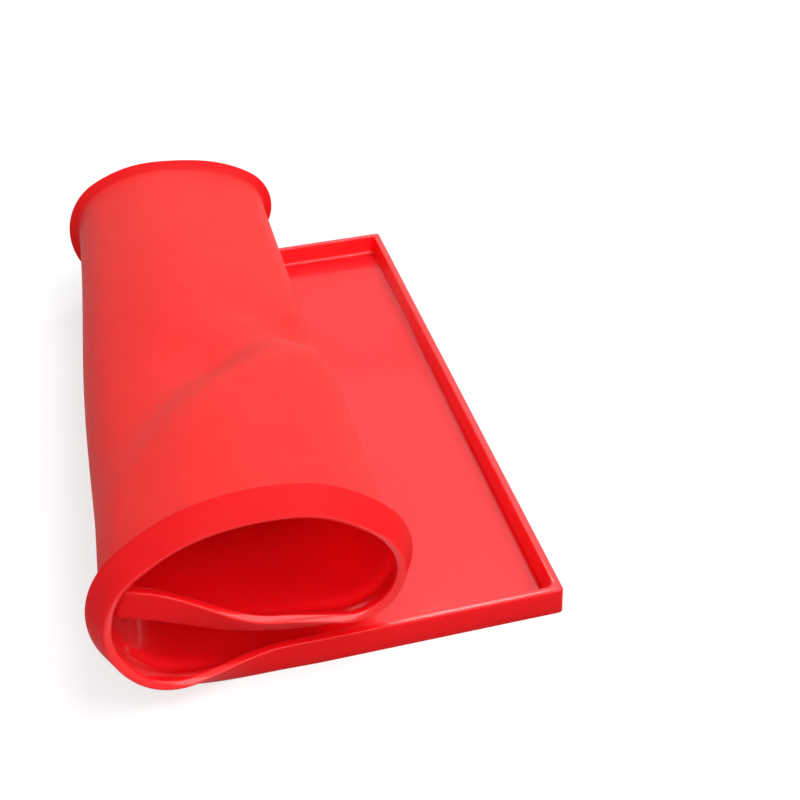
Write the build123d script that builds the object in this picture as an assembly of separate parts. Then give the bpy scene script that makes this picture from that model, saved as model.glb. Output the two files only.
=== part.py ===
import os
from dataclasses import dataclass
from math import cos, degrees, exp, pi, radians, sin, sqrt, tan

from build123d import *

# A one-piece silicone baking mat with a raised rim, partly rolled up.
# Lengths are in millimetres, turns and leans in degrees.

# The moulding as it comes out of its mould, laid flat
mat_length = 383.5  # along the way it rolls
mat_width = 270.0
sheet = 1.5  # thickness of the floor
rim_height = 10.0  # from the underside to the rim's top
rim_top = 2.9  # width of the rim's flat top
rim_draft = 8.0  # slope of the rim's inner face
root_rise = 1.8  # where the root's ramp starts, above the floor
foot_reach = 5.2  # from the mat's outer edge to the rim's foot, where the floor is plain
edge_round = 0.6  # radius on the rim's top edges
corner_round = 1.5  # radius on the four outer corners, in plan

# The roll, as the height of its crown above the table and the gaps between its turns
roll_height = 69.2
flap_clearance = 8.6  # from the upright rim's top up to the tucked flap
tail_clearance = 2.0  # from the flap's end to the inside of the roll

# The bends, in order from the flat end, each with the most that the rim leans on it.
# A rim leans outwards in a bend, because its top edge can't shorten.
lift_radius = 191.0
lift_turn = 13.0
lift_lean = 11.0
heel_turn = 130.5
heel_lean = 64.0
heel_peak = 0.28  # share of the heel at which its rim leans most, 0.5 on the other bends
shoulder_radius = 77.0
shoulder_turn = 12.8
shoulder_lean = 50.0
crown_radius = 52.5
crown_turn = 38.0
crown_lean = 42.5
brow_radius = 48.0
brow_turn = 34.0
brow_lean = 55.5
nose_lean = 64.5
flap_radius = 110.0
flap_turn = 21.0
flap_lean = 36.0
lean_delay = 10.0  # how far past the start of the first bend the rim starts to lean
upright_end = 5.5  # length of rim that the corner at the tucked end holds upright

# Past a line that slants across the roll, the roll's top sinks, and stays low to the far end
slump_depth = 10.0
slump_along = 222.0  # a place on the line
slump_across = 78.0
slump_slant = 38.0  # between the line and the mat's length
slump_slope = 30.0  # width of the slope down
slump_middle = 236.0  # where along the mat it is deepest
slump_reach = 44.0  # how far from there it fades
# Smaller hollows and swellings, as place along and across the mat, the way each one runs,
# half its length, half its width and its depth, which is below 0 for a swelling
hollows = [
    (222.0, 96.0, 0.0, 17.0, 15.0, 3.5),
    (266.0, 118.0, 0.0, 16.0, 13.0, 5.0),
    (250.0, 120.0, 150.0, 18.0, 6.0, -1.6),
    (243.0, 134.0, 60.0, 18.0, 12.0, 2.5),
    (165.0, 115.0, 0.0, 30.0, 75.0, -2.2),
]

# The most that a bend turns, and that the mat runs on, between two sections of the rim
section_turn = 7.5
section_gap = 12.0
# The steps of the sheet's sections, along the mat and from one section to the next
sheet_step = 5.0
sheet_gap = 5.0


@dataclass
class Span:
    # A straight run or a bend of the underside, in the plane that the mat rolls in
    start: float  # where it begins, along the mat
    length: float
    x: float
    z: float
    heading: float  # 180 sets off along -X, and a bend turns it clockwise
    radius: float = 0.0  # 0 for a straight run

    def at(self, ahead):
        along = radians(self.heading)
        if not self.radius:
            return self.x + ahead * cos(along), self.z + ahead * sin(along), self.heading
        after = self.heading - degrees(ahead / self.radius)
        return (
            self.x + self.radius * (sin(along) - sin(radians(after))),
            self.z + self.radius * climb(self.heading, after),
            after,
        )


def climb(before, after):
    # Height gained per millimetre of radius, from one heading to another
    return cos(radians(after)) - cos(radians(before))


# The nose turns by what is left of a full turn, so the flap sets out level
nose_turn = 360.0 - lift_turn - heel_turn - shoulder_turn - crown_turn - brow_turn
turns = [lift_turn, heel_turn, shoulder_turn, crown_turn, brow_turn, nose_turn, flap_turn]
leans = [lift_lean, heel_lean, shoulder_lean, crown_lean, brow_lean, nose_lean, flap_lean]
headings = [180.0 - sum(turns[:i]) for i in range(len(turns) + 1)]
heel, nose = 1, 5  # their places in these lists
peaks = [heel_peak if i == heel else 0.5 for i in range(len(turns))]


def height_share(radii, side):
    # What these bends give to the roll's height, before (max) or after (min) its top
    return sum(
        radius * climb(side(headings[i], 0.0), side(headings[i + 1], 0.0))
        for i, radius in radii.items()
    )


# The heel's radius brings the roll up to its height, and the nose's brings the flap
# down to its clearance above the rim, with the bends beside them taken off first
free_radii = {0: lift_radius, 2: shoulder_radius, 3: crown_radius, 4: brow_radius}
flap_height = rim_height + flap_clearance
rise = roll_height - height_share(free_radii, max)
fall = flap_height - roll_height - height_share(free_radii, min)
heel_radius = rise / climb(headings[heel], headings[heel + 1])
nose_radius = fall / climb(headings[nose], headings[nose + 1])
radii = [
    lift_radius, heel_radius, shoulder_radius, crown_radius, brow_radius, nose_radius, flap_radius
]
bend_lengths = [radius * radians(turn) for radius, turn in zip(radii, turns)]


def lay_bends(start, x, z):
    # The bends one after the other, and where the flap ends
    bends = []
    for radius, heading, length in zip(radii, headings, bend_lengths):
        bends.append(Span(start, length, x, z, heading, radius))
        x, z, _ = bends[-1].at(length)
        start += length
    return bends, start, x, z


def tail_length():
    # The straight tail ends at its clearance inside the heel, which is an arc of a circle
    bends, _, x, z = lay_bends(0.0, 0.0, 0.0)
    turned = radians(bends[heel].heading)
    x -= bends[heel].x + heel_radius * sin(turned)
    z -= bends[heel].z - heel_radius * cos(turned)
    reach = heel_radius - sheet - tail_clearance
    ahead = x * cos(radians(headings[-1])) + z * sin(radians(headings[-1]))
    return -ahead + sqrt(ahead**2 - x**2 - z**2 + reach**2)


tail = tail_length()
flat_length = mat_length - sum(bend_lengths) - tail
bends, tail_start, tail_x, tail_z = lay_bends(flat_length, -flat_length, 0.0)
spans = [
    Span(0.0, flat_length, 0.0, 0.0, 180.0),
    *bends,
    Span(tail_start, tail, tail_x, tail_z, headings[-1]),
]
lean_start = flat_length + lean_delay
lean_end = mat_length - upright_end


def span_at(along):
    # The ends run straight on past the mat, for what is cut from its corners
    return [span for span in spans if span.start <= max(along, 0.0)][-1]


def place(along, across, up):
    # A point of the flat mat, carried to where it lies in the roll
    span = span_at(along)
    x, z, heading = span.at(along - span.start)
    return Vector(x + up * sin(radians(heading)), across, z - up * cos(radians(heading)))


def ease(share):
    # From 0 to 1 without a kink at either end
    return (1 - cos(pi * min(max(share, 0.0), 1.0))) / 2


def sunk(along, across):
    # How far the sheet is pressed towards the inside of the roll
    if not flat_length < along < tail_start:
        return 0.0
    slant = radians(slump_slant)
    past = (across - slump_across) * cos(slant) - (along - slump_along) * sin(slant)
    fade = exp(-(((along - slump_middle) / slump_reach) ** 2))
    depth = slump_depth * fade * ease(past / slump_slope + 0.5)
    for at_along, at_across, turn, reach, spread, deep in hollows:
        c, s = cos(radians(turn)), sin(radians(turn))
        lengthways = ((along - at_along) * c + (across - at_across) * s) / reach
        sideways = ((across - at_across) * c - (along - at_along) * s) / spread
        depth += deep * exp(-(lengthways**2) - sideways**2)
    return depth


def lean_at(along):
    # The rim leans most partway round each bend, and eases from one bend to the next
    stops = [(lean_start, 0.0)]
    stops += [
        (bend.start + bend.length * peak, lean) for bend, peak, lean in zip(bends, peaks, leans)
    ]
    stops.append((lean_end, 0.0))
    for (start, lean), (end, next_lean) in zip(stops, stops[1:]):
        if start <= along <= end:
            return lean + (next_lean - lean) * ease((along - start) / (end - start))
    return 0.0


def curl_outline(across):
    # The floor seen edge-on, from the first bend to the foot of the tucked end's rim
    start, end = flat_length, mat_length - foot_reach
    count = round((end - start) / sheet_step)
    stops = [start + (end - start) * k / count for k in range(count + 1)]
    edges = [
        Edge.make_line(place(along, across, 0.0), place(along, across, sheet))
        for along in (start, end)
    ]
    for up in (0.0, sheet):
        points = [place(along, across, up + sunk(along, across)) for along in stops]
        ways = [Vector(-1, 0, 0), (points[-1] - points[-2]).normalized()]
        edges.append(Edge.make_spline(points, ways, parameters=stops))
    return Wire.combine(edges)[0]


def make_base_sheet():
    # The plain floor, inside the foot of the rim all round
    reach = mat_width - 2 * foot_reach
    corners = [
        place(along, foot_reach, up)
        for along, up in (
            (foot_reach, 0.0), (flat_length, 0.0), (flat_length, sheet), (foot_reach, sheet)
        )
    ]
    level = extrude(Face(Wire.make_polygon(corners)), amount=reach, dir=(0, 1, 0))
    count = round(reach / sheet_gap)
    curl = Solid.make_loft(
        [curl_outline(foot_reach + reach * k / count) for k in range(count + 1)]
    )
    return level + curl


def rim_outline(lean, to_point):
    # The rim cut across. Where it leans, it turns about the underside of its foot, so its
    # outer bottom edge swings out of the roll.
    ramp_top = sheet + root_rise
    inner_foot = rim_top + (rim_height - ramp_top) * tan(radians(rim_draft))
    off_corner = edge_round * (1 - sqrt(0.5))  # from the square corner to the arc's middle

    def leaned(across, up):
        c, s = cos(radians(lean)), sin(radians(lean))
        beyond = across - foot_reach
        return to_point(foot_reach + beyond * c - up * s, beyond * s + up * c)

    outer_low = leaned(0.0, 0.0)
    outer_high = leaned(0.0, rim_height - edge_round)
    outer_arc = leaned(off_corner, rim_height - off_corner)
    top_out = leaned(edge_round, rim_height)
    top_in = leaned(rim_top - edge_round, rim_height)
    inner_arc = leaned(rim_top - off_corner, rim_height - off_corner)
    inner_high = leaned(rim_top, rim_height - edge_round)
    inner_low = leaned(inner_foot, ramp_top)
    floor_high = to_point(foot_reach, sheet)
    floor_low = to_point(foot_reach, 0.0)
    return Wire(
        [
            Edge.make_line(outer_low, outer_high),
            Edge.make_three_point_arc(outer_high, outer_arc, top_out),
            Edge.make_line(top_out, top_in),
            Edge.make_three_point_arc(top_in, inner_arc, inner_high),
            Edge.make_line(inner_high, inner_low),
            Edge.make_line(inner_low, floor_high),
            Edge.make_line(floor_high, floor_low),
            Edge.make_line(floor_low, outer_low),
        ]
    )


def side_section(along, back=False):
    # One side rim cut across, lying as the sheet beside it does
    deep = sunk(along, mat_width - foot_reach if back else foot_reach)

    def to_point(across, up):
        return place(along, mat_width - across if back else across, up + deep)

    return rim_outline(lean_at(along), to_point)


def straight_rim(start, end):
    # The near side rim without lean, over a straight run of the mat
    run = place(end, 0.0, 0.0) - place(start, 0.0, 0.0)
    return extrude(Face(side_section(start)), amount=run.length, dir=run)


def section_stops():
    # Where the curled rim is cut: where the spans meet, and in even steps between
    stops = [flat_length]
    for span in spans[1:]:
        low, high = span.start, min(span.start + span.length, lean_end)
        step = section_gap
        if span.radius:
            step = min(step, span.radius * radians(section_turn))
        count = max(1, round((high - low) / step))
        stops += [low + (high - low) * k / count for k in range(1, count + 1)]
    return stops


def corner_waste(edge, inwards):
    # What rounding takes off a square outer corner, over the rim's height
    spare = 1.0
    off_corner = corner_round * (1 - sqrt(0.5))

    def at(along, across):
        return place(edge + inwards * along, across, -spare)

    outline = Wire(
        [
            Edge.make_line(at(-spare, -spare), at(corner_round, -spare)),
            Edge.make_line(at(corner_round, -spare), at(corner_round, 0.0)),
            Edge.make_three_point_arc(
                at(corner_round, 0.0), at(off_corner, off_corner), at(0.0, corner_round)
            ),
            Edge.make_line(at(0.0, corner_round), at(-spare, corner_round)),
            Edge.make_line(at(-spare, corner_round), at(-spare, -spare)),
        ]
    )
    upwards = place(edge, 0.0, 1.0) - place(edge, 0.0, 0.0)
    return extrude(Face(outline), amount=rim_height + 2 * spare, dir=upwards)


def make_side_rim(back=False):
    # Straight at both ends, and lofted round the roll, where it leans
    straight_runs = [
        straight_rim(0.0, flat_length) - corner_waste(0.0, 1),
        straight_rim(lean_end, mat_length) - corner_waste(mat_length, -1),
    ]
    if back:
        straight_runs = [run.mirror(Plane.XZ.offset(-mat_width / 2)) for run in straight_runs]
    sections = [side_section(along, back) for along in section_stops()]
    return straight_runs[0] + Solid.make_loft(sections, ruled=True) + straight_runs[1]


def make_end_rim(edge, inwards, side_rims):
    # The rim across one end of the mat, fitted between the side rims
    outline = rim_outline(0.0, lambda across, up: place(edge + inwards * across, 0.0, up))
    bar = extrude(Face(outline), amount=mat_width, dir=(0, 1, 0))
    for rim in side_rims:
        bar = bar - rim
    return max(bar.solids(), key=lambda solid: solid.volume)


front_rim = make_side_rim()
back_rim = make_side_rim(back=True)
nodes = {
    "base_sheet": make_base_sheet(),
    "front_rim": front_rim,
    "back_rim": back_rim,
    "flat_end_rim": make_end_rim(0.0, 1, (front_rim, back_rim)),
    "tucked_end_rim": make_end_rim(mat_length, -1, (front_rim, back_rim)),
}

# The origin is on the table, under the middle of the mat as it lies
boxes = [shape.bounding_box() for shape in nodes.values()]
middle_x = (min(box.min.X for box in boxes) + max(box.max.X for box in boxes)) / 2
to_origin = Pos(-middle_x, -mat_width / 2, 0)

os.makedirs("parts", exist_ok=True)
for name, shape in nodes.items():
    export_step(shape.moved(to_origin), f"parts/{name}.step")
    print(name, len(shape.solids()), round(shape.volume), "mm3")
print("heel radius", round(heel_radius, 2), "nose radius", round(nose_radius, 2))
print("flat", round(flat_length, 2), "tail", round(tail, 2), "middle", round(middle_x, 3))
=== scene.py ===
from math import cos, pi, radians, sin, tan

import bpy
from mathutils import Matrix, Vector


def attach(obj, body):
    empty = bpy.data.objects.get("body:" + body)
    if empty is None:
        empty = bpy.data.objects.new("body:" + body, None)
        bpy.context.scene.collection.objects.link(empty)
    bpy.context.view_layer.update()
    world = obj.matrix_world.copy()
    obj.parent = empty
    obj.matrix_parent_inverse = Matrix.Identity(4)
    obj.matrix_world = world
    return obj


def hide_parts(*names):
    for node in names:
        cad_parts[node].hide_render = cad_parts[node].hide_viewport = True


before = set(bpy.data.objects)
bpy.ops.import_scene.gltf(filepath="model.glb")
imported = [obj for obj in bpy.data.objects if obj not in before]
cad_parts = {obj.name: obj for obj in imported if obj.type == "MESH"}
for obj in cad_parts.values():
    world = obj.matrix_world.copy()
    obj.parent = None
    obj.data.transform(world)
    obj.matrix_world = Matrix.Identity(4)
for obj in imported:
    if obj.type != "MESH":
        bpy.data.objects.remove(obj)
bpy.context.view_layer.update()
mm = 0.001
print("frame loaded:", ", ".join(sorted(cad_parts)))


class Wire:
    # One output socket, so that node maths reads as plain arithmetic
    def __init__(self, tree, socket):
        self.tree, self.socket = tree, socket

    def maths(self, operation, *others, clamp=False):
        return self.tree.add("ShaderNodeMath", dict(operation=operation, use_clamp=clamp),
                             dict(enumerate((self, *others))))

    def __add__(self, other): return self.maths("ADD", other)
    def __radd__(self, other): return self.maths("ADD", other)
    def __sub__(self, other): return self.maths("SUBTRACT", other)
    def __rsub__(self, other): return self.tree.number(other).maths("SUBTRACT", self)
    def __mul__(self, other): return self.maths("MULTIPLY", other)
    def __rmul__(self, other): return self.maths("MULTIPLY", other)
    def __truediv__(self, other): return self.maths("DIVIDE", other)
    def __rtruediv__(self, other): return self.tree.number(other).maths("DIVIDE", self)
    def __neg__(self): return self.maths("MULTIPLY", -1.0)

    def clamped(self): return self.maths("ADD", 0.0, clamp=True)
    def sine(self): return self.maths("SINE")
    def cosine(self): return self.maths("COSINE")
    def exponential(self): return self.maths("EXPONENT")
    def atLeast(self, other): return self.maths("MAXIMUM", other)
    def atMost(self, other): return self.maths("MINIMUM", other)
    def toRadians(self): return self.maths("RADIANS")


class Tree:
    # A shader or geometry node tree, with one way to add a node
    def __init__(self, nodeTree):
        self.nodeTree = nodeTree

    def node(self, kind, settings=None, inputs=None):
        made = self.nodeTree.nodes.new(kind)
        for name, value in (settings or {}).items():
            setattr(made, name, value)
        for name, value in (inputs or {}).items():
            if isinstance(value, Wire):
                self.nodeTree.links.new(value.socket, made.inputs[name])
            else:
                made.inputs[name].default_value = value
        return made

    def add(self, kind, settings=None, inputs=None, output=0):
        return Wire(self, self.node(kind, settings, inputs).outputs[output])

    def outputsOf(self, kind, settings=None, inputs=None):
        made = self.node(kind, settings, inputs)
        return {socket.name: Wire(self, socket) for socket in made.outputs}

    def number(self, value):
        made = self.node("ShaderNodeValue")
        made.outputs[0].default_value = value
        return Wire(self, made.outputs[0])


def newGroup(name, inputs, outputs):
    # A geometry node group whose named inputs and outputs are numbers, apart from these
    kinds = dict(mat="Geometry", rolledMat="Geometry", silicone="Material")
    nodeTree = bpy.data.node_groups.new(name, "GeometryNodeTree")
    for side, labels in (("INPUT", inputs), ("OUTPUT", outputs)):
        for label in labels:
            nodeTree.interface.new_socket(
                label, in_out=side, socket_type="NodeSocket" + kinds.get(label, "Float"))
    tree = Tree(nodeTree)
    return tree, tree.outputsOf("NodeGroupInput")


def emptyTree(holder):
    # The node tree of a new material or world, with nothing in it
    holder.use_nodes = True
    holder.node_tree.nodes.clear()
    return Tree(holder.node_tree)


def newObject(name, data):
    made = bpy.data.objects.new(name, data)
    bpy.context.scene.collection.objects.link(made)
    return made


# The mat, in millimetres and degrees: the solid model's sizes, with finer edges
matSizes = dict(
    # the moulding laid flat
    length=383.5,  # along the way it rolls
    width=270.0,
    sheet=1.5,
    rimHeight=10.0,
    rimTop=2.9,
    rimDraft=8.0,  # degrees
    rootRise=1.8,  # height over which the rim's inner foot runs out into the floor
    footReach=5.2,  # from the mat's edge to where the floor is plain
    hingeHalf=2.4,  # the sheet bends this far either side of the foot where the rim leans
    edgeRound=0.6,
    lowerEdgeRound=0.35,
    cornerRound=1.5,
    innerCornerRound=2.6,
    leastCornerRound=0.3,
    cornerZone=11.0,  # the corners' own mesh reaches this far in
    # the roll
    flatEnd=74.167,  # X of the flat end's edge
    rollHeight=69.2,
    flapClearance=8.6,  # from the upright rim's top up to the tucked flap
    tailClearance=2.0,  # from the flap's end to the inside of the heel
    leanDelay=10.0,  # the rim starts to lean this far past the start of the first bend
    uprightEnd=5.5,  # the rims stand upright over this last length of the tucked end
    # The bends in order from the flat end, with the most that the rim leans on each, and
    # the share of the bend at which it does, where that isn't half. The two radii that
    # are missing follow from the roll's height and the flap's clearance.
    bends=dict(
        lift=dict(radius=191.0, turn=13.0),  # here the lean already grows towards the heel's
        heel=dict(turn=130.5, lean=64.0, peak=0.28),
        shoulder=dict(radius=77.0, turn=12.8, lean=50.0),
        crown=dict(radius=52.5, turn=38.0, lean=42.5),
        brow=dict(radius=48.0, turn=34.0, lean=55.5),
        nose=dict(turn=131.7, lean=64.5),
        flap=dict(radius=110.0, turn=21.0, lean=36.0),
    ),
    # Past a line that slants across the roll, the roll's top sinks, and stays low to the far
    # end: a place on the line, its turn from the mat's length, the width of the slope down,
    # the depth, and where along the mat it is deepest and how far from there it fades
    slump=dict(along=222.0, across=78.0, turn=38.0, slope=30.0, depth=10.0, middle=236.0,
               reach=44.0),
    # Smaller hollows, and swellings where the depth is below 0: the place, the way each
    # one runs, half its length and half its width
    hollows=dict(
        topDent=dict(along=222.0, across=96.0, turn=0.0, reach=17.0, spread=15.0, depth=3.5),
        browDent=dict(along=266.0, across=118.0, turn=0.0, reach=16.0, spread=13.0, depth=5.0),
        foldBetween=dict(along=250.0, across=120.0, turn=150.0, reach=18.0, spread=8.0,
                         depth=-1.0),  # softer than the solid's
        saddle=dict(along=243.0, across=134.0, turn=60.0, reach=18.0, spread=12.0, depth=2.5),
        heelBulge=dict(along=165.0, across=115.0, turn=0.0, reach=30.0, spread=75.0,
                       depth=-2.2),
    ),
    # the mesh: the length of its faces, and the number of faces round what is rounded
    meshGaps=dict(along=2.1, across=3.4, under=1.0, foot=0.8),
    meshCuts=dict(lowerEdge=2, wall=3, topEdge=4, innerFace=2, root=7, corner=6, besideCorner=3),
)


def evenly(start, end, count):
    return [start + (end - start) * k / count for k in range(count + 1)]


def evenSteps(start, end, gap):
    return evenly(start, end, max(1, round(abs(end - start) / gap)))


def rimProfile(size):
    # The rim cut across, from under its foot over the top to the floor: how far in from the
    # mat's edge, how high, and 0 to 1 from the underside to the food side
    cuts, gaps = size["meshCuts"], size["meshGaps"]
    lower, top = size["lowerEdgeRound"], size["edgeRound"]
    hingeEdge = size["footReach"] + size["hingeHalf"]
    high = size["rimHeight"] - top
    points = [(inset, 0.0, 0.0) for inset in evenSteps(hingeEdge, lower, gaps["under"])]
    points += [(lower - lower * sin(turn), lower - lower * cos(turn), 0.0)
               for turn in evenly(0.0, pi / 2, cuts["lowerEdge"])[1:]]
    points += [(0.0, up, 0.0) for up in evenly(lower, high, cuts["wall"])[1:]]
    points += [(top - top * cos(turn), high + top * sin(turn), turn / (pi / 2))
               for turn in evenly(0.0, pi / 2, cuts["topEdge"])[1:]]
    points += [(size["rimTop"] - top + top * sin(turn), high + top * cos(turn), 1.0)
               for turn in evenly(0.0, pi / 2, cuts["topEdge"])]
    # the drafted inner face, then the root's quarter turn into the floor
    rampTop = size["sheet"] + size["rootRise"]
    foot = size["rimTop"] + (high - rampTop) * tan(radians(size["rimDraft"]))
    face = zip(evenly(size["rimTop"], foot, cuts["innerFace"]),
               evenly(high, rampTop, cuts["innerFace"]))
    points += [(inset, up, 1.0) for inset, up in list(face)[1:-1]]
    points += [(foot + (size["footReach"] - foot) * (1 - cos(turn)),
                rampTop - size["rootRise"] * sin(turn), 1.0)
               for turn in evenly(0.0, pi / 2, cuts["root"])]
    points += [(inset, size["sheet"], 1.0)
               for inset in evenSteps(size["footReach"], hingeEdge, gaps["foot"])[1:]]
    return points


def middleSteps(size):
    # The mesh's steps along and across the mat, between the corners
    zone, gaps = size["cornerZone"], size["meshGaps"]
    return (evenSteps(zone, size["length"] - zone, gaps["along"]),
            evenSteps(zone, size["width"] - zone, gaps["across"]))


def cornerPath(size, inset, radius):
    # From a side, round one corner, to the end: (along, across) from that corner
    cuts, centre = size["meshCuts"], inset + radius
    beside = evenly(size["cornerZone"], centre, cuts["besideCorner"])[1:-1]
    return ([(x, inset) for x in beside]
            + [(centre - radius * sin(turn), centre - radius * cos(turn))
               for turn in evenly(0.0, pi / 2, cuts["corner"])]
            + [(inset, y) for y in reversed(beside)])


def ringRuns(size, inset, radius):
    # One closed loop round the mat, a given way in from its edge, as its sides and corners
    length, width = size["length"], size["width"]
    along, across = middleSteps(size)
    corner = cornerPath(size, inset, radius)
    return [
        [(x, inset) for x in reversed(along)],
        corner,
        [(inset, y) for y in across],
        [(x, width - y) for x, y in reversed(corner)],
        [(x, width - inset) for x in along],
        [(length - x, width - y) for x, y in corner],
        [(length - inset, y) for y in reversed(across)],
        [(length - x, y) for x, y in reversed(corner)],
    ]


def stripBetween(near, far):
    # The faces between two rows of points
    return list(zip(near, far, far[1:], near[1:]))


def fillRing(runs, grid):
    # The faces of the plain middle, and those that join it to the ring round it
    front, cornerA, left, cornerB, back, cornerC, right, cornerD = runs
    rows = [[first, *row, last] for first, row, last in zip(reversed(front), grid, back)]
    faces = stripBetween(left, grid[0]) + stripBetween(grid[-1], right[::-1])
    for near, far in zip(rows, rows[1:]):
        faces += stripBetween(near, far)
    for hub, path in (
        (grid[0][0], [front[-1], *cornerA, left[0]]),
        (grid[0][-1], [left[-1], *cornerB, back[0]]),
        (grid[-1][-1], [back[-1], *cornerC, right[0]]),
        (grid[-1][0], [right[-1], *cornerD, front[0]]),
    ):
        faces += [(hub, after, before) for before, after in zip(path, path[1:])]
    return faces


def makeFlatMat(size):
    # A closed mesh of the flat mat, with what the node tree and the material need to know
    verts, faces, foodSide = [], [], []

    def addPoints(places, up, food):
        first = len(verts)
        verts.extend((x * mm, y * mm, up * mm) for x, y in places)
        foodSide.extend([food] * len(places))
        return list(range(first, len(verts)))

    rings = []
    for inset, up, food in rimProfile(size):
        past = (inset - size["edgeRound"]) / (size["rimTop"] - size["edgeRound"])
        inward = food * min(max(past, 0.0), 1.0)
        radius = (max(size["cornerRound"] - inset, size["leastCornerRound"]) * (1 - inward)
                  + size["innerCornerRound"] * inward)
        rings.append([addPoints(run, up, food) for run in ringRuns(size, inset, radius)])
    for low, high in zip(rings, rings[1:]):
        low, high = sum(low, []), sum(high, [])
        faces += stripBetween(low + low[:1], high + high[:1])

    along, across = middleSteps(size)
    for runs, up, food in ((rings[0], 0.0, 0.0), (rings[-1], size["sheet"], 1.0)):
        grid = [addPoints([(x, y) for y in across], up, food) for x in along]
        patch = fillRing(runs, grid)
        faces += patch if food else [face[::-1] for face in patch]

    mesh = bpy.data.meshes.new("flatMat")
    mesh.from_pydata(verts, [], faces)
    mesh.attributes.new("foodSide", "FLOAT", "POINT").data.foreach_set("value", foodSide)
    mesh.validate()
    mesh.update()
    return mesh


def climb(before, after):
    # Height gained per length of radius, from one heading to another
    return cos(radians(after)) - cos(radians(before))


def settleRoll(size):
    # Fills in the bends' free radii, and works out the length that lies flat
    headings = {}
    heading = 180.0  # sets off away from the flat end, and the bends turn it clockwise
    for name, bend in size["bends"].items():
        headings[name] = (heading, heading - bend["turn"])
        heading -= bend["turn"]

    def heightShare(side):
        # What the other bends give to the height, before (max) or after (min) the roll's top
        return sum(bend["radius"] * climb(*(side(turned, 0.0) for turned in headings[name]))
                   for name, bend in size["bends"].items() if "radius" in bend and name != "flap")

    drop = size["rimHeight"] + size["flapClearance"] - size["rollHeight"]
    heelRadius = (size["rollHeight"] - heightShare(max)) / climb(*headings["heel"])
    noseRadius = (drop - heightShare(min)) / climb(*headings["nose"])
    bends = {name: dict(bend) for name, bend in size["bends"].items()}
    bends["heel"]["radius"], bends["nose"]["radius"] = heelRadius, noseRadius

    # where the flap ends, and from there the tail, straight on to near the heel's inside
    x = z = 0.0
    for name, (before, after) in headings.items():
        radius, before, after = bends[name]["radius"], radians(before), radians(after)
        if name == "heel":
            centreX, centreZ = x + radius * sin(before), z - radius * cos(before)
        x += radius * (sin(before) - sin(after))
        z += radius * (cos(after) - cos(before))
    dx, dz, tailHeading = x - centreX, z - centreZ, radians(heading)
    reach = heelRadius - size["sheet"] - size["tailClearance"]
    ahead = dx * cos(tailHeading) + dz * sin(tailHeading)
    tail = -ahead + (ahead ** 2 - dx ** 2 - dz ** 2 + reach ** 2) ** 0.5
    bent = sum(bend["radius"] * radians(bend["turn"]) for bend in bends.values())
    flatRun = size["length"] - bent - tail
    print("heel radius %.2f, nose radius %.2f, flat run %.2f, tail %.2f mm"
          % (heelRadius, noseRadius, flatRun, tail))
    return bends, flatRun


def inMetres(sizes, label=""):
    # Lengths in metres under their labels, with turns, leans and shares as they are
    return {label + key: value if key in ("turn", "lean", "peak") else value * mm
            for key, value in sizes.items()}


def rollInputs(size, bends, flatRun):
    # The values of the node tree's inputs, by name
    values = inMetres({key: size[key] for key in
                       ("width", "flatEnd", "leanDelay", "footReach", "hingeHalf")})
    values.update(inMetres(dict(flatRun=flatRun, leanEnd=size["length"] - size["uprightEnd"])))
    for name, sizes in {**bends, "slump": size["slump"], **size["hollows"]}.items():
        values.update(inMetres(sizes, name + " "))
    return values


def makeBendGroup():
    # One bend: how far it carries a point forwards and up, and how far it turns it
    tree, given = newGroup(
        "oneBend", ["along", "start", "radius", "turn", "heading", "peak"],
        ["x", "z", "turned", "mostLean", "end", "headingAfter"])
    turn = given["turn"].toRadians()
    length = given["radius"] * turn
    ahead = (given["along"] - given["start"]).atLeast(0.0).atMost(length)
    turned = ahead / given["radius"]
    before = given["heading"]
    after = before - turned
    tree.node("NodeGroupOutput", None, {
        "x": given["radius"] * (before.sine() - after.sine()),
        "z": given["radius"] * (after.cosine() - before.cosine()),
        "turned": turned,
        "mostLean": given["start"] + length * given["peak"],
        "end": given["start"] + length,
        "headingAfter": before - turn})
    return tree.nodeTree


def makeEaseGroup():
    # The part of a change that is reached between two places, with a cosine ease
    tree, given = newGroup("easeBetween", ["along", "from", "to", "change"], ["reached"])
    share = ((given["along"] - given["from"]) / (given["to"] - given["from"])).clamped()
    tree.node("NodeGroupOutput", None, {
        "reached": given["change"] * (1.0 - (share * pi).cosine()) * 0.5})
    return tree.nodeTree


def makePressGroup():
    # A soft hollow, longer one way than the other, that dies away smoothly all round
    tree, given = newGroup(
        "onePress", ["matAlong", "matAcross", "along", "across", "turn", "reach", "spread",
                     "depth"], ["pressed"])
    dx = given["matAlong"] - given["along"]
    dy = given["matAcross"] - given["across"]
    turn = given["turn"].toRadians()
    lengthways = (dx * turn.cosine() + dy * turn.sine()) / given["reach"]
    sideways = (dy * turn.cosine() - dx * turn.sine()) / given["spread"]
    fade = (-(lengthways * lengthways + sideways * sideways)).exponential()
    tree.node("NodeGroupOutput", None, {"pressed": given["depth"] * fade})
    return tree.nodeTree


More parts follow.
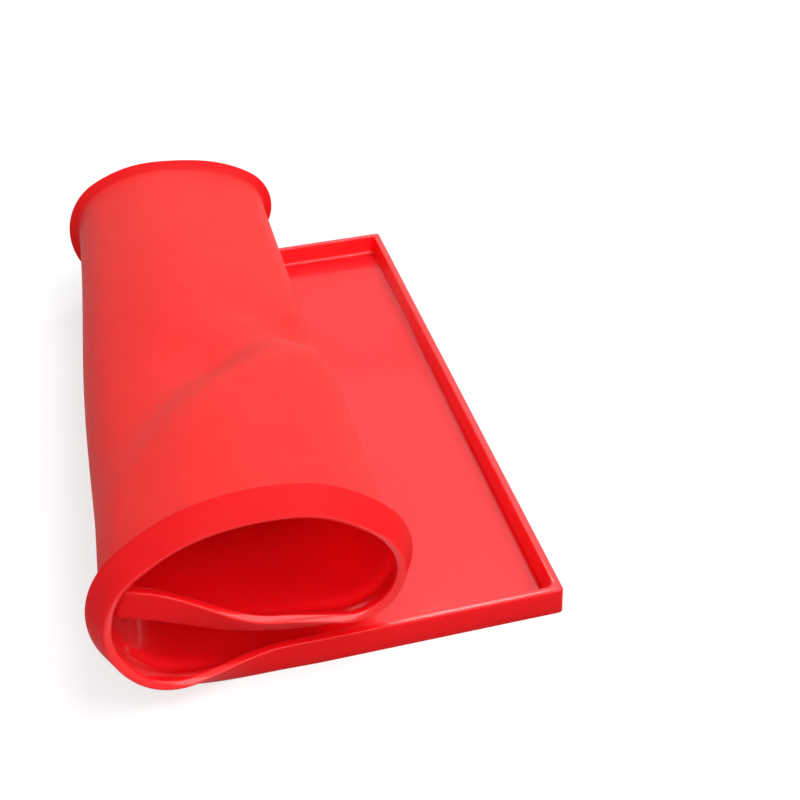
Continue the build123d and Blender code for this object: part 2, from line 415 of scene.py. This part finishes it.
def makeRollTree(bends, hollows, labels):
    # Bends the flat mat round the roll, leans its rims outwards and presses the hollows in
    tree, given = newGroup("rollUp", ["mat", *labels], ["rolledMat"])
    bendGroup, easeGroup, pressGroup = makeBendGroup(), makeEaseGroup(), makePressGroup()

    def useGroup(group, inputs):
        return tree.outputsOf("GeometryNodeGroup", dict(node_tree=group), inputs)

    flatPlace = tree.add("GeometryNodeInputPosition")
    place = tree.outputsOf("ShaderNodeSeparateXYZ", None, {"Vector": flatPlace})
    along, across, up = place["X"], place["Y"], place["Z"]

    # the path of the underside: level, then one bend after the other, then the straight tail
    x, z, turned = -(along.atMost(given["flatRun"])), 0.0, 0.0
    start, heading = given["flatRun"], pi
    leanFrom, leanBefore, lean = given["flatRun"] + given["leanDelay"], 0.0, 0.0
    for name in bends:
        bend = useGroup(bendGroup, {
            "along": along, "start": start, "heading": heading,
            "radius": given[name + " radius"], "turn": given[name + " turn"],
            "peak": given.get(name + " peak", 0.5)})
        x, z, turned = x + bend["x"], z + bend["z"], turned + bend["turned"]
        start, heading = bend["end"], bend["headingAfter"]
        if name + " lean" in given:
            lean = lean + useGroup(easeGroup, {
                "along": along, "from": leanFrom, "to": bend["mostLean"],
                "change": given[name + " lean"] - leanBefore})["reached"]
            leanFrom, leanBefore = bend["mostLean"], given[name + " lean"]
    lean = lean + useGroup(easeGroup, {
        "along": along, "from": leanFrom, "to": given["leanEnd"],
        "change": -leanBefore})["reached"]
    tail = (along - start).atLeast(0.0)
    x = x + tail * heading.cosine()
    z = z + tail * heading.sine()
    here = pi - turned

    # where the roll bends, the sheet next to each rim bends down and lets the rim lean
    # outwards, by at least a hundredth of a degree, so that its radius stays finite
    isFront = tree.add("FunctionNodeCompare", dict(data_type="FLOAT", operation="LESS_THAN"),
                       {0: across, 1: given["width"] * 0.5})
    inset = across.atMost(given["width"] - across)
    hingeEdge = given["footReach"] + given["hingeHalf"]
    slant = lean.atLeast(0.01)
    hinge = useGroup(bendGroup, {
        "along": hingeEdge - inset, "start": 0.0, "turn": slant, "heading": 0.0,
        "radius": 2.0 * given["hingeHalf"] / slant.toRadians()})
    beyond = (given["footReach"] - given["hingeHalf"] - inset).atLeast(0.0)
    leaned = hinge["turned"]
    inset = (inset.atLeast(hingeEdge) - hinge["x"] - beyond * leaned.cosine()
             - up * leaned.sine())
    newUp = hinge["z"] - beyond * leaned.sine() + up * leaned.cosine()
    newAcross = tree.add("ShaderNodeMix", dict(data_type="FLOAT"), {
        "Factor": isFront, "A": given["width"] - inset, "B": inset})

    # the hollows and the slump push the whole thickness towards the inside of the roll
    for name, hollow in hollows.items():
        newUp = newUp + useGroup(pressGroup, {
            "matAlong": along, "matAcross": across,
            **{key: given[name + " " + key] for key in hollow}})["pressed"]
    turn = given["slump turn"].toRadians()
    past = ((across - given["slump across"]) * turn.cosine()
            - (along - given["slump along"]) * turn.sine())
    off = (along - given["slump middle"]) / given["slump reach"]
    newUp = newUp + (-(off * off)).exponential() * useGroup(easeGroup, {
        "along": past, "from": given["slump slope"] * -0.5, "to": given["slump slope"] * 0.5,
        "change": given["slump depth"]})["reached"]

    rolled = tree.add("ShaderNodeCombineXYZ", None, {
        "X": x + newUp * here.sine() + given["flatEnd"],
        "Y": newAcross - given["width"] * 0.5,
        "Z": z - newUp * here.cosine()})
    marked = tree.add("GeometryNodeStoreNamedAttribute",
                      dict(data_type="FLOAT_VECTOR", domain="POINT"),
                      {"Geometry": given["mat"], "Name": "flatPlace", "Value": flatPlace})
    moved = tree.add("GeometryNodeSetPosition", None, {"Geometry": marked, "Position": rolled})
    # the mat runs towards -X, which mirrors it, so its faces are turned outwards again
    outward = tree.add("GeometryNodeFlipFaces", None, {"Mesh": moved})
    smooth = tree.add("GeometryNodeSetShadeSmooth", None, {"Geometry": outward})
    real = tree.add("GeometryNodeRealizeInstances", None, {"Geometry": smooth})
    painted = tree.add("GeometryNodeSetMaterial", None,
                       {"Geometry": real, "Material": given["silicone"]})
    tree.node("NodeGroupOutput", None, {"rolledMat": painted})
    return tree.nodeTree


def bakeNodes(mesh, nodeTree, values, name):
    # Runs the tree on the mesh and keeps the result as a plain mesh object
    source = newObject(name + "Source", mesh)
    modifier = source.modifiers.new(name, "NODES")
    modifier.node_group = nodeTree
    for item in nodeTree.interface.items_tree:
        if item.in_out == "INPUT" and item.name in values:
            modifier[item.identifier] = values[item.name]
    bpy.context.view_layer.update()
    made = bpy.data.meshes.new_from_object(
        source.evaluated_get(bpy.context.evaluated_depsgraph_get()))
    made.name = name
    source.modifiers.remove(modifier)
    bpy.data.objects.remove(source)
    return newObject(name, made)


siliconeLook = dict(
    red=(0.985, 0.005, 0.011, 1.0),  # the polished food side
    paleRedAndPaintedSheen=(0.985, 0.030, 0.026, 1.0),  # the matte side, drawn paler: partly the white its matte skin scatters, partly a painted sheen in place of the lamps' reflection
    deepRed=(0.95, 0.004, 0.009, 1.0),  # where the colour is unevenly mixed in
    rimShadeRed=(0.75, 0.005, 0.008, 1.0),  # painted shade: the rims drawn a deeper red where they catch less light
    rimShadeFade=1.8,  # mm, over which the rims' painted shade comes in
    rimShadeAtFoot=0.6,  # how much of it there is at the rim's foot
    rimShadeHidden=0.65,  # how much of it the food side hides
    cloudScale=11.0,  # the noises' scales, per metre
    mottleScale=130.0,
    smearScale=24.0,
    waveScale=30.0,
    cloudShare=0.7,  # of the clouds in the uneven colour, and the rest is mottle
    unevenFrom=0.35,
    foodRoughness=0.34,
    outerRoughness=0.62,
    cloudRoughness=0.05,
    mottleRoughness=0.08,
    sheen=0.19,  # how strongly the satin base mirrors, 0.5 for plain plastic
    floorPolish=0.34,  # clear gloss of the food side, dulled on the floor by use
    rimPolish=0.65,
    polishRoughness=0.07,
    cloudDulling=0.1,
    smearFrom=0.55,  # greasy smears from use, only where their noise and the clouds pass these
    smearCloudFrom=0.42,
    smearStrength=12.0,
    smearRoughness=0.22,
    smearDulling=0.35,
    glow=0.8,  # share of the light that goes into the silicone and comes out further on
    glowReach=(1.0, 0.07, 0.08),
    glowScale=0.005,  # metres
    grain=0.0009,  # metres
    grainDepth=0.00002,
    grainPolished=0.9,  # how much of the grain the food side lacks
    waveDepth=0.00005,
)


def makeSilicone(look, size):
    # Moulded silicone: glossy where it was cast against the polished half, satin underneath
    material = bpy.data.materials.new("redSilicone")
    tree = emptyTree(material)
    place = tree.add("ShaderNodeAttribute", dict(attribute_name="flatPlace"), None, "Vector")
    food = tree.add("ShaderNodeAttribute", dict(attribute_name="foodSide"), None, "Fac")

    def noise(scale, detail, roughness=0.5):
        return tree.add("ShaderNodeTexNoise", None,
                        {"Vector": place, "Scale": scale, "Detail": detail, "Roughness": roughness})

    def mixed(share, first, second):
        # 6 and 7 are the colours that a Mix node of this type takes, and 2 the one it gives
        return tree.add("ShaderNodeMix", dict(data_type="RGBA"),
                        {"Factor": share, 6: first, 7: second}, 2)

    clouds, mottle = noise(look["cloudScale"], 2.0), noise(look["mottleScale"], 2.0)
    uneven = (clouds * look["cloudShare"] + mottle * (1.0 - look["cloudShare"])
              - look["unevenFrom"]).clamped()
    flat = tree.outputsOf("ShaderNodeSeparateXYZ", None, {"Vector": place})
    inset = flat["X"].atMost(size["length"] * mm - flat["X"]).atMost(flat["Y"]).atMost(
        size["width"] * mm - flat["Y"])
    # the rims' zone: it takes the painted shade below and the stronger coat further on
    rim = ((size["footReach"] * mm - inset) * (1.0 / (look["rimShadeFade"] * mm))
           + look["rimShadeAtFoot"]).clamped()
    # the matte side is drawn paler, partly a painted sheen
    colour = mixed(uneven, mixed(food, look["paleRedAndPaintedSheen"], look["red"]), look["deepRed"])
    # painted shade: the rims drawn a deeper red, less on their food side
    colour = mixed(rim * (1.0 - food * look["rimShadeHidden"]), colour, look["rimShadeRed"])

    smears = ((noise(look["smearScale"], 5.0, 0.65) - look["smearFrom"]).clamped()
              * (clouds - look["smearCloudFrom"]).clamped() * look["smearStrength"]).clamped()
    outer = look["outerRoughness"] + (mottle - 0.5) * look["mottleRoughness"]
    inner = (look["foodRoughness"] + smears * look["smearRoughness"]
             + (clouds - 0.5) * look["cloudRoughness"])
    shine = (food - smears * look["smearDulling"] - (clouds - 0.5) * look["cloudDulling"]).clamped()
    polish = shine * (look["floorPolish"] + rim * (look["rimPolish"] - look["floorPolish"]))
    height = (noise(1.0 / look["grain"], 1.0) * (1.0 - food * look["grainPolished"])
              * look["grainDepth"] + noise(look["waveScale"], 1.0) * look["waveDepth"])
    bump = tree.add("ShaderNodeBump", None, {"Strength": 1.0, "Distance": 1.0, "Height": height})
    surface = tree.add("ShaderNodeBsdfPrincipled", None, {
        "Base Color": colour, "Roughness": outer + (inner - outer) * food, "Normal": bump,
        "IOR": 1.45, "Specular IOR Level": look["sheen"],
        "Coat Weight": polish, "Coat IOR": 1.41, "Coat Roughness": look["polishRoughness"],
        "Subsurface Weight": look["glow"], "Subsurface Radius": look["glowReach"],
        "Subsurface Scale": look["glowScale"]})
    tree.node("ShaderNodeOutputMaterial", None, {"Surface": surface})
    return material


bends, flatRun = settleRoll(matSizes)
rollValues = rollInputs(matSizes, bends, flatRun)
rollValues["silicone"] = makeSilicone(siliconeLook, matSizes)
rollTree = makeRollTree(bends, matSizes["hollows"], rollValues)
bakingMat = bakeNodes(makeFlatMat(matSizes), rollTree, rollValues, "bakingMat")
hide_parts("base_sheet", "front_rim", "back_rim", "flat_end_rim", "tucked_end_rim")
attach(bakingMat, "root")
print("baking mat:", len(bakingMat.data.polygons), "faces")


studio = dict(
    floorSize=1.7,
    floorColour=0.42,
    whiteLevel=1.05,  # the floor's colour and its lift to white, together
    skyLevel=0.36,
    softboxes=dict(  # place, width, height in metres, power in watts
        key=((0.75, -0.45, 1.30), 1.1, 1.1, 15.5),
        front=((-0.05, -1.15, 0.80), 0.9, 0.6, 8.2),
        back=((0.30, 1.05, 1.05), 0.9, 0.6, 1.4),
        strip=((0.322, 0.744, 1.116), 0.227, 0.297, 2.6),  # gives the near rim its highlight
    ),
)


def seenDirectly(tree):
    # 1 for what the camera sees, straight or in a reflection, and 0 for what lights the mat
    seen = tree.outputsOf("ShaderNodeLightPath")
    return seen["Is Camera Ray"].atLeast(seen["Is Glossy Ray"]).atLeast(seen["Is Transmission Ray"])


def makeFloor(setting):
    half, grey = setting["floorSize"] / 2, setting["floorColour"]
    mesh = bpy.data.meshes.new("tableTop")
    mesh.from_pydata([(-half, -half, 0), (half, -half, 0), (half, half, 0), (-half, half, 0)], [],
                     [(0, 1, 2, 3)])
    material = bpy.data.materials.new("paleTable")
    tree = emptyTree(material)
    matte = tree.add("ShaderNodeBsdfDiffuse", None, {"Color": (grey, grey, grey, 1.0)})
    lift = tree.add("ShaderNodeEmission", None, {
        "Color": (1.0, 1.0, 1.0, 1.0),
        "Strength": seenDirectly(tree) * (setting["whiteLevel"] - grey)})
    both = tree.add("ShaderNodeAddShader", None, {0: matte, 1: lift})
    tree.node("ShaderNodeOutputMaterial", None, {"Surface": both})
    mesh.materials.append(material)
    newObject("tableTop", mesh)


def makeSky(setting):
    world = bpy.data.worlds.new("studioSky")
    tree = emptyTree(world)
    level = setting["skyLevel"] + seenDirectly(tree) * (1.0 - setting["skyLevel"])
    sky = tree.add("ShaderNodeBackground", None, {"Color": (1.0, 1.0, 1.0, 1.0), "Strength": level})
    tree.node("ShaderNodeOutputWorld", None, {"Surface": sky})
    bpy.context.scene.world = world


def makeSoftbox(name, place, width, height, power):
    lamp = bpy.data.lights.new(name, "AREA")
    lamp.shape, lamp.size, lamp.size_y, lamp.energy = "RECTANGLE", width, height, power
    softbox = newObject(name, lamp)
    softbox.location = place
    softbox.rotation_euler = Vector(place).to_track_quat("Z", "Y").to_euler()


# The camera was fitted to the mat's straight edges; its picture is 800 pixels square
cameraFit = dict(
    focalPixels=1229.54,
    pictureSide=800.0,
    sensorWidth=36.0,  # mm
    nearest=0.02,  # metres
    farthest=50.0,
    place=(-35.819, -411.330, 286.804),  # mm
    yaw=12.04,  # degrees clockwise from +Y, seen from above
    pitch=34.2,
    roll=-3.04,
)


def makeCamera(fit):
    yaw, pitch, roll = (radians(fit[key]) for key in ("yaw", "pitch", "roll"))
    ahead = Vector((sin(yaw) * cos(pitch), cos(yaw) * cos(pitch), -sin(pitch)))
    level = Vector((cos(yaw), -sin(yaw), 0.0))
    upright = level.cross(ahead)
    right = cos(roll) * level + sin(roll) * upright
    above = cos(roll) * upright - sin(roll) * level
    lens = bpy.data.cameras.new("photoCamera")
    lens.sensor_width = fit["sensorWidth"]
    lens.lens = fit["sensorWidth"] * fit["focalPixels"] / fit["pictureSide"]
    lens.clip_start, lens.clip_end = fit["nearest"], fit["farthest"]
    camera = newObject("photoCamera", lens)
    turned = Matrix((right, above, -ahead)).transposed().to_4x4()
    camera.matrix_world = Matrix.Translation(Vector(fit["place"]) * mm) @ turned
    bpy.context.scene.camera = camera


makeFloor(studio)
makeSky(studio)
for boxName, boxSizes in studio["softboxes"].items():
    makeSoftbox(boxName + "Softbox", *boxSizes)
makeCamera(cameraFit)
bpy.context.scene.view_settings.view_transform = "Standard"
print("studio ready")
